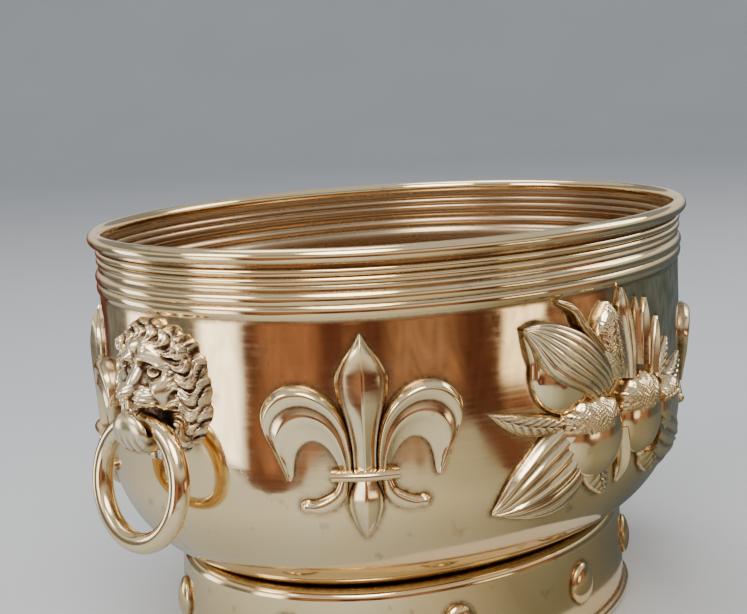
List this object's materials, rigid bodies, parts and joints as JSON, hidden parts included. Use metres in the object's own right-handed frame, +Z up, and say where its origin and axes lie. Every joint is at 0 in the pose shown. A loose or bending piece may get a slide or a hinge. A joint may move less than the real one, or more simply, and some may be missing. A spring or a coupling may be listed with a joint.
{
  "type": "planter pot",
  "caption": "Oval brass planter pot with a reeded rim, a band foot with domed bosses, and a lion mask with a hanging ring handle at each end.",
  "frame": {"origin": "centre of the foot's standing face", "axes": "+Z up, +X along the pot's length towards one lion mask, -Y towards the front spray"},
  "size_m": [0.337, 0.25, 0.192],
  "materials": {
    "sheet_brass": "polished sheet, lightly tarnished",
    "inner_brass": "dull, tarnished brown",
    "foot_brass": "polished sheet",
    "cast_brass": "cast, polished on the high parts and brown in the hollows",
    "ring_brass": "polished bar",
    "fixing_brass": "turned, tarnished",
    "iron_wire": "drawn wire"
  },
  "bodies": {
    "pot": {"front_wall": "sheet_brass", "back_wall": "sheet_brass", "rim_wire": "iron_wire", "floor_plate": "inner_brass", "foot_band": "foot_brass", "foot_wire": "iron_wire", "left_mask": "cast_brass", "left_mask_studs": "fixing_brass", "left_mask_washers": "fixing_brass", "left_mask_nuts": "fixing_brass", "right_mask": "cast_brass", "right_mask_studs": "fixing_brass", "right_mask_washers": "fixing_brass", "right_mask_nuts": "fixing_brass"},
    "left_ring_handle": {"left_ring": "ring_brass"},
    "right_ring_handle": {"right_ring": "ring_brass"}
  },
  "joints": [
    {"name": "left_ring_swing", "type": "hinge", "parent": "pot", "child": "left_ring_handle", "pos_m": [-0.1555, 0, 0.122], "axis": [0, 1, 0], "range_deg": [0, 92]},
    {"name": "right_ring_swing", "type": "hinge", "parent": "pot", "child": "right_ring_handle", "pos_m": [0.1555, 0, 0.122], "axis": [0, -1, 0], "range_deg": [0, 92]}
  ]
}
